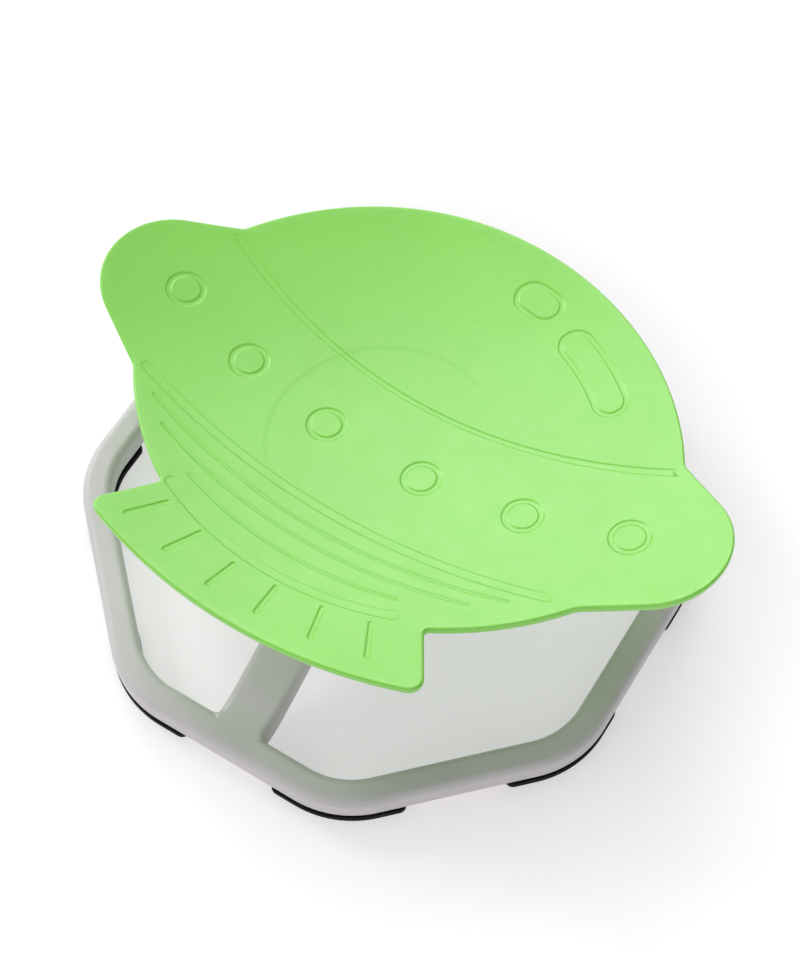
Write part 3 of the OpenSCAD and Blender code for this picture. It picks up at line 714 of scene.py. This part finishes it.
class Finish(Nodes):
    """Node material in object coordinates."""

    def __init__(self, name, **shader):
        self.material = bpy.data.materials.new(name)
        self.material.use_nodes = True
        super().__init__(self.material.node_tree)
        self.shader = self.set(self.tree.nodes["Principled BSDF"], **shader)
        self.body = self.place()

    def place(self, scale=(1, 1, 1)):
        """Object coordinates through a mapping."""
        mapping = self.add("ShaderNodeMapping", Scale=scale)
        self.join(self.add("ShaderNodeTexCoord").outputs["Object"], mapping, "Vector")
        return mapping

    def texture(self, kind, place=None, **values):
        node = self.add("ShaderNodeTex" + kind, **values)
        self.join(place or self.body, node, "Vector")
        return node

    def noise(self, scale, detail=3.0, rough=0.5, place=None):
        return self.texture("Noise", place, Scale=scale, Detail=detail, Roughness=rough)

    def ramp(self, source, shades, stops, into):
        """Colour of the shader that runs from one shade to another between two stops."""
        node = self.add("ShaderNodeValToRGB")
        for element, stop, shade in zip(node.color_ramp.elements, stops, shades):
            element.position, element.color = stop, (*[min(c, 1) for c in shade], 1)
        self.join(source, node, "Fac")
        self.join(node, self.shader, into)

    def tint(self, source, base, low, high, stops=NOISE_SPAN):
        """Colour that wanders between two brightnesses of a base colour."""
        self.ramp(source, [[c * share for c in base] for share in (low, high)], stops, "Base Color")

    def gloss(self, noise, low, high):
        """Roughness that wanders between two values."""
        self.join(self.span(noise, NOISE_SPAN, (low, high), "LINEAR"), self.shader, "Roughness")

    def bump(self, source, depth, after=None):
        """Bump of a depth in metres, on top of an earlier one."""
        node = self.add("ShaderNodeBump", Distance=depth)
        self.join(source, node, "Height")
        if after:
            self.join(after, node, "Normal")
        self.join(node, self.shader, "Normal")
        return node


class Tree(Nodes):
    """Geometry node tree with named inputs, which puts copies of a shape on points."""

    def __init__(self, name, *sizes):
        super().__init__(bpy.data.node_groups.new(name, "GeometryNodeTree"))
        for way in ("INPUT", "OUTPUT"):
            self.tree.interface.new_socket("Geometry", in_out=way, socket_type="NodeSocketGeometry")
        self.sockets = {}
        for size in sizes:
            self.input(size, "Float")
        self.input("Finish", "Material")
        self.start = self.add("NodeGroupInput")

    def input(self, name, kind):
        socket = self.tree.interface.new_socket(name, in_out="INPUT", socket_type="NodeSocket" + kind)
        self.sockets[name] = socket.identifier

    def shape(self, kind, sizes, **counts):
        """Mesh whose sizes come from named inputs."""
        node = self.add("GeometryNodeMesh" + kind, **counts)
        for socket, name in sizes.items():
            self.join(self.start.outputs[name], node, socket)
        return node

    def scaled(self, name, share):
        """Share of a named input."""
        return self.number(self.start.outputs[name], "MULTIPLY", share, "Math")

    def lifted(self, shape, height):
        """Mesh moved along its axis."""
        lift, moved = self.add("ShaderNodeCombineXYZ"), self.add("GeometryNodeTransform")
        self.join(height, lift, "Z")
        self.join(shape, moved, "Geometry")
        self.join(lift, moved, "Translation")
        return moved

    def close(self, shape):
        """Ends the tree with copies of a shape on the points, as real geometry with its material."""
        spread = self.add("GeometryNodeInstanceOnPoints")
        real = self.add("GeometryNodeRealizeInstances")
        paint = self.add("GeometryNodeSetMaterial")
        self.join(self.start, spread, "Points")
        self.join(shape, spread, "Instance")
        if "Turn" in self.sockets:
            self.join(self.start.outputs["Turn"], spread, "Rotation")
        self.join(spread, real, "Geometry")
        self.join(real, paint, "Geometry")
        self.join(self.start.outputs["Finish"], paint, "Material")
        self.join(paint, self.add("NodeGroupOutput"), "Geometry")
        return self

    def run(self, name, points, material, **values):
        """Runs the tree on a cloud of points and returns the result as a plain mesh object."""
        mesh = bpy.data.meshes.new(name)
        mesh.from_pydata([tuple(p) for p in points], [], [])
        seed = new_object(name + ".seed", mesh)
        modifier = seed.modifiers.new("tree", "NODES")
        modifier.node_group = self.tree
        for key, value in {**values, "Finish": material}.items():
            modifier[self.sockets[key.replace("_", " ")]] = value
        graph = bpy.context.evaluated_depsgraph_get()
        result = bpy.data.meshes.new_from_object(seed.evaluated_get(graph))
        result.name = name
        bpy.data.objects.remove(seed)
        return new_object(name, result)


# Finishes

# Start and end of the boss's faint ring, from the boss's edge
BOSS_RING = (-0.004, 0.001)


def seat_plastic(f, boss_r):
    """Satin moulded plastic: fine grain, faint flow marks, and the boss's faint ring in the middle."""
    finish = Finish("seat_plastic")
    finish.tint(finish.noise(9, detail=4), f.seat, low=0.97, high=1.03)
    finish.gloss(finish.noise(60), low=0.28, high=0.35)
    grain = finish.bump(finish.noise(700, rough=0.6), depth=0.00007)
    flow = finish.bump(finish.noise(160), depth=0.00012, after=grain)
    plan = finish.add("ShaderNodeUVMap", uv_map="seat_plan")
    away = finish.number(plan, "DISTANCE", (0, 0, 0))
    ring = finish.span(away, [boss_r + edge for edge in BOSS_RING])
    finish.bump(ring, depth=0.00012, after=flow)
    return finish.material


def powder_coat(f):
    """Satin powder coat with a fine orange-peel skin."""
    finish = Finish("powder_coat")
    finish.tint(finish.noise(25, detail=5), f.coat, low=0.97, high=1.03)
    finish.gloss(finish.noise(140, detail=2), low=0.36, high=0.46)
    peel = finish.bump(finish.noise(420, detail=2), depth=0.00010)
    finish.bump(finish.noise(1800, detail=2), depth=0.00003, after=peel)
    return finish.material


def black_rubber(f):
    """Matte rubber with a dusty, pebbled skin."""
    finish = Finish("black_rubber", Specular_IOR_Level=0.08)
    finish.tint(finish.noise(220, detail=5), f.rubber, low=0.7, high=1.6)
    finish.gloss(finish.noise(90), low=0.6, high=0.8)
    finish.bump(finish.texture("Voronoi", Scale=900), depth=0.00012)
    return finish.material


def bare_metal(name, base, low, high, turned=(1, 1, 60)):
    """Metal with fine tool marks across its axis."""
    finish = Finish(name, Metallic=1.0)
    marks = finish.noise(90, detail=4, rough=0.6, place=finish.place(turned))
    finish.tint(finish.noise(35, detail=5), base, low=0.9, high=1.06)
    finish.gloss(marks, low, high)
    finish.bump(marks, depth=0.00002)
    return finish.material


def zinc_plate(f):
    """Zinc plating with its faint spangle."""
    finish = Finish("zinc_plate", Metallic=1.0)
    spangle = finish.texture("Voronoi", Scale=160)
    finish.tint(spangle.outputs["Color"], f.zinc, low=0.9, high=1.08, stops=(0, 1))
    finish.gloss(finish.noise(70), low=0.30, high=0.44)
    finish.bump(finish.noise(500, detail=2), depth=0.00003)
    return finish.material


def give(piece, material):
    """Sets a piece's only material."""
    piece.data.materials.clear()
    piece.data.materials.append(material)


# Small parts that are copied onto points


def screw_tree(taper=0.78, recess_lift=0.95, sides=6):
    """Socket screws: tapered head, recess and shank, all turned one way."""
    tree = Tree("socket_screws", "Head radius", "Head height", "Shank radius", "Shank length",
                "Recess radius")
    tree.input("Turn", "Rotation")
    head = tree.shape("Cone", {"Radius Bottom": "Head radius", "Depth": "Head height"}, Vertices=32)
    tree.join(tree.scaled("Head radius", taper), head, "Radius Top")
    recess = tree.shape("Cylinder", {"Radius": "Recess radius", "Depth": "Head height"}, Vertices=sides)
    shank = tree.shape("Cylinder", {"Radius": "Shank radius", "Depth": "Shank length"}, Vertices=20)
    drilled = tree.add("GeometryNodeMeshBoolean", operation="DIFFERENCE", solver="EXACT")
    tree.join(head, drilled, "Mesh 1")
    tree.join(tree.lifted(recess, tree.scaled("Head height", recess_lift)), drilled, "Mesh 2")
    whole = tree.add("GeometryNodeJoinGeometry")
    tree.join(drilled, whole, "Geometry")
    tree.join(tree.lifted(shank, tree.scaled("Shank length", -0.5)), whole, "Geometry")
    return tree.close(whole)


def bead_tree():
    """Weld bead: overlapping round ripples."""
    tree = Tree("weld_bead", "Bead radius")
    smooth = tree.add("GeometryNodeSetShadeSmooth")
    tree.join(tree.shape("UVSphere", {"Radius": "Bead radius"}, Segments=10, Rings=6), smooth, 0)
    return tree.close(smooth)


def ring_on_axis(height, radius, count, phase=0.0):
    """Points of a circle about the spin axis, at a height along it."""
    lean = Vector((0, 0, 1)).rotation_difference(SPIN_AXIS)
    points = [on_circle((0, 0), radius, phase + 360 * i / count) for i in range(count)]
    return [SPIN_POINT + lean @ Vector((p[0], p[1], height)) for p in points]


# Operators, one for each group of pieces

# Weld beads: distance from the axis, number of ripples, their radius and height off the plate
FOOT_BEAD = (0.017, 72, 0.0018, 0.0008)
HUB_BEAD = (0.0252, 96, 0.0016, 0.0006)
# Screws of the seat: distance from the axis and number, and sizes of one
SEAT_SCREWS = (0.065, 6)
SEAT_SCREW = dict(Head_radius=0.0051, Head_height=0.0039, Shank_radius=0.003, Shank_length=0.012,
                  Recess_radius=0.0026)
# Screws of a strip: places in shares of its bend, and sizes of one
STRIP_SCREWS = (0.25, 0.75)
STRIP_SCREW = dict(Head_radius=0.0037, Head_height=0.0024, Shank_radius=0.002, Recess_radius=0.0018)


class SPINSEAT_OT_seat(bpy.types.Operator):
    """Build the moulded seat with its rim, dish and relief"""

    bl_idname = "spin_seat.seat"
    bl_label = "Moulded Seat"
    bl_options = {"REGISTER", "UNDO"}

    def execute(self, context):
        settings = context.scene.spin_seat
        place = seat_place(settings.seat)
        piece = mesh_object("moulded_seat", *seat_mesh(settings.seat), place)
        plan_uv(piece.data, place)
        give(piece, seat_plastic(settings.finish, settings.seat.boss_r))
        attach(piece, "seat")
        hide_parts("seat_shell")
        return {"FINISHED"}


class SPINSEAT_OT_base(bpy.types.Operator):
    """Build the octagonal ring and the bridge bar"""

    bl_idname = "spin_seat.base"
    bl_label = "Tube Base"
    bl_options = {"REGISTER", "UNDO"}

    def execute(self, context):
        b = context.scene.spin_seat.base
        coat = powder_coat(context.scene.spin_seat.finish)
        section = tube_section(b.tube_w, RING_HIGH.z - RING_LOW.z, b.edge_r)
        ring = swept("base_ring", ring_rings(ring_stations(b), section, MIDDLE_Z), True)
        bar = swept("base_bar", bar_rings(b), False)
        for piece, node in ((ring, "ring_tube"), (bar, "bridge_bar")):
            give(piece, coat)
            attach(piece, "base")
            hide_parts(node)
        give(NODES["axle_foot"], coat)
        away, count, ripple, off = FOOT_BEAD
        low = (BAR_TOP - SPIN_POINT.z) / SPIN_AXIS.z
        circle = ring_on_axis((low + height_on_axis("axle_foot")[1]) / 2, away, count)
        points = [p - SPIN_AXIS * ((p.z - BAR_TOP - off) / SPIN_AXIS.z) for p in circle]
        bead = bead_tree().run("foot_weld", points, coat, Bead_radius=ripple)
        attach(bead, "base")
        return {"FINISHED"}


class SPINSEAT_OT_feet(bpy.types.Operator):
    """Build the rubber strips under the corners"""

    bl_idname = "spin_seat.feet"
    bl_label = "Rubber Feet"
    bl_options = {"REGISTER", "UNDO"}

    def execute(self, context):
        settings = context.scene.spin_seat
        rubber = black_rubber(settings.finish)
        for k in range(PAD_COUNT):
            piece = swept(f"rubber_strip_{k + 1}", pad_rings(settings.base, k), False)
            give(piece, rubber)
            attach(piece, "base")
            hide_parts(f"foot_pad_{k + 1}")
        return {"FINISHED"}


class SPINSEAT_OT_hub(bpy.types.Operator):
    """Finish the axle, the bearings and the hub, and weld the hub to its disc"""

    bl_idname = "spin_seat.hub"
    bl_label = "Hub and Bearings"
    bl_options = {"REGISTER", "UNDO"}

    def execute(self, context):
        settings = context.scene.spin_seat
        f = settings.finish
        ground = bare_metal("ground_steel", f.steel, low=0.18, high=0.34)
        brass = bare_metal("pressed_brass", f.brass, low=0.25, high=0.4)
        dark = bare_metal("black_oxide", f.dark_steel, low=0.35, high=0.5)
        zinc = zinc_plate(f)
        for names, material in (
            ("axle lower_bearing_inner upper_bearing_inner lower_bearing_outer upper_bearing_outer", ground),
            ("bearing_spacer outer_spacer lower_balls upper_balls", ground),
            ("seat_flange hub_sleeve axle_washer axle_nut", zinc),
            ("hub_circlip", dark),
            ("lower_cage upper_cage seat_inserts", brass),
        ):
            for name in names.split():
                give(NODES[name], material)
        flange_low = height_on_axis("seat_flange")[0]
        away, count, ripple, off = HUB_BEAD
        circle = ring_on_axis(flange_low - off, away, count)
        bead = bead_tree().run("hub_weld", circle, zinc, Bead_radius=ripple)
        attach(bead, "seat")
        turn = SPIN_AXIS.to_track_quat("Z", "Y").to_matrix().to_4x4() @ Matrix.Rotation(math.pi, 4, "X")
        heads = ring_on_axis(flange_low, *SEAT_SCREWS, math.degrees(settings.seat.turn))
        screws = screw_tree().run("seat_socket_screws", heads, dark, Turn=turn.to_euler(), **SEAT_SCREW)
        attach(screws, "seat")
        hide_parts("seat_screws")
        return {"FINISHED"}


class SPINSEAT_OT_strip_screws(bpy.types.Operator):
    """Build the screws that hold the rubber strips"""

    bl_idname = "spin_seat.strip_screws"
    bl_label = "Strip Screws"
    bl_options = {"REGISTER", "UNDO"}

    def execute(self, context):
        b = context.scene.spin_seat.base
        dark = bare_metal("strip_screw_steel", context.scene.spin_seat.finish.dark_steel, low=0.35, high=0.5)
        low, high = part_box("pad_screws")
        seat = low.z + STRIP_SCREW["Head_height"]
        places = [(k, CORNER_TURN * (k + share)) for k in range(PAD_COUNT) for share in STRIP_SCREWS]
        points = [(*on_circle(bend_centre(b, k), b.bend_r, a), seat) for k, a in places]
        screws = screw_tree().run("strip_screws", points, dark, Turn=(math.pi, 0, 0),
                                  Shank_length=high.z - seat, **STRIP_SCREW)
        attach(screws, "base")
        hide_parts("pad_screws")
        return {"FINISHED"}


# Lights of the surroundings, each (direction, cosines at its edges, levels)
DOME = ((-0.927, 0.375, 0.0), (-0.35, 0.35), (0.06, 0.64))
SOFTBOX = ((-0.52, 0.56, 0.643), (0.934, 0.988), (0.0, 5.0))
FILL = ((0.40, -0.66, 0.64), (0.829, 0.961), (0.0, 1.8))
# Floor's glow, dimmed round the object into a painted shadow: the painted shadow's darkest place, the
# distances over which it brightens into the full glow, and the glow's two shades, the darker one the painted
# shadow's
PAINTED_SHADOW_MIDDLE = (0.010, 0.041, 0.0)
PAINTED_SHADOW_REACH = (0.17, 0.38)
FLOOR_GLOW_AND_PAINTED_SHADOW = ((0.448, 0.42, 0.455), (0.66, 0.657, 0.66))
FLOOR_HALF = 6.0
# Direction, strength and apparent size of the key light
KEY_WAY, KEY_POWER, KEY_SIZE = (-0.84, 0.12, 0.53), 1.05, 0.3


class SPINSEAT_OT_stage(bpy.types.Operator):
    """Set up the floor, the lights and the camera"""

    bl_idname = "spin_seat.stage"
    bl_label = "Studio"
    bl_options = {"REGISTER", "UNDO"}

    def execute(self, context):
        settings = context.scene.spin_seat
        self.floor(settings.finish)
        context.scene.world = self.world()
        self.lamp()
        context.scene.camera = self.camera(settings.stage)
        context.scene.view_settings.view_transform = "Standard"
        return {"FINISHED"}

    def floor(self, f):
        """Pale floor that glows, with a painted shadow: its glow is dimmer close to the object."""
        finish = Finish("studio_floor", Roughness=0.9, Specular_IOR_Level=0.1, Emission_Strength=1.0)
        finish.tint(finish.noise(3, detail=2), f.floor, low=0.995, high=1.005)
        # Painted shadow: the floor's glow runs from a darker, slightly less green shade near the object to
        # the full glow further out
        away = finish.number(finish.body, "DISTANCE", PAINTED_SHADOW_MIDDLE)
        finish.ramp(finish.span(away, PAINTED_SHADOW_REACH), FLOOR_GLOW_AND_PAINTED_SHADOW, (0, 1), "Emission Color")
        corners = [(x * FLOOR_HALF, y * FLOOR_HALF, 0) for x, y in ((-1, -1), (1, -1), (1, 1), (-1, 1))]
        floor = mesh_object("floor", corners, [(0, 1, 2, 3)])
        give(floor, finish.material)

    def world(self):
        """White where the camera sees the surroundings, and elsewhere the sum of their lights."""
        world = bpy.data.worlds.new("studio_white")
        world.use_nodes = True
        nodes = Nodes(world.node_tree)
        way, lights = nodes.add("ShaderNodeTexCoord").outputs["Generated"], []
        for direction, edges, levels in (DOME, SOFTBOX, FILL):
            side = nodes.number(way, "DOT_PRODUCT", Vector(direction).normalized())
            lights.append(nodes.span(side, edges, levels))
        total = lights[0]
        for light in lights[1:]:
            both = nodes.add("ShaderNodeMath", operation="ADD")
            nodes.join(total, both, 0)
            nodes.join(light, both, 1)
            total = both
        level = nodes.add("ShaderNodeMix", B=1.0)
        nodes.join(nodes.add("ShaderNodeLightPath").outputs["Is Camera Ray"], level, "Factor")
        nodes.join(total, level, "A")
        back = nodes.set(world.node_tree.nodes["Background"], Color=(1, 1, 1, 1))
        nodes.join(level, back, "Strength")
        return world

    def lamp(self):
        """A soft key from behind on the left of the view."""
        light = bpy.data.lights.new("key", "SUN")
        light.energy, light.angle = KEY_POWER, KEY_SIZE
        new_object("key", light).rotation_euler = (-Vector(KEY_WAY)).to_track_quat("-Z", "Y").to_euler()

    def camera(self, s):
        """Camera that looks at a point from an azimuth, an elevation and a distance."""
        lens = bpy.data.cameras.new("camera")
        lens.lens = lens.sensor_width / 2 / math.tan(s.view_height / 2)
        camera = new_object("camera", lens)
        flat = math.cos(s.elevation)
        back = Vector((math.sin(s.azimuth) * flat, -math.cos(s.azimuth) * flat, math.sin(s.elevation)))
        camera.location = Vector(s.focus) + back * s.distance
        camera.rotation_euler = (-back).to_track_quat("-Z", "Y").to_euler()
        return camera


class SPINSEAT_PT_panel(bpy.types.Panel):
    """Buttons that build the spinning seat's finish."""

    bl_idname = "SPINSEAT_PT_panel"
    bl_label = "Spinning Seat"
    bl_space_type = "VIEW_3D"
    bl_region_type = "UI"
    bl_category = "Spinning Seat"

    def draw(self, context):
        for operator in OPERATORS:
            self.layout.operator(operator.bl_idname)


OPERATORS = (SPINSEAT_OT_stage, SPINSEAT_OT_seat, SPINSEAT_OT_base, SPINSEAT_OT_feet, SPINSEAT_OT_hub,
             SPINSEAT_OT_strip_screws)
CLASSES = (SeatSizes, BaseSizes, Finishes, StageSizes, SpinSeatSettings, *OPERATORS, SPINSEAT_PT_panel)


def register():
    for cls in CLASSES:
        bpy.utils.register_class(cls)
    bpy.types.Scene.spin_seat = group("Spinning seat", "All sizes and colours", SpinSeatSettings)


def unregister():
    del bpy.types.Scene.spin_seat
    for cls in reversed(CLASSES):
        bpy.utils.unregister_class(cls)


def main():
    register()
    bpy.ops.spin_seat.stage()
    bpy.ops.spin_seat.seat()
    bpy.ops.spin_seat.base()
    bpy.ops.spin_seat.feet()
    bpy.ops.spin_seat.hub()
    bpy.ops.spin_seat.strip_screws()
    bpy.context.view_layer.update()


if __name__ == "__main__":
    main()
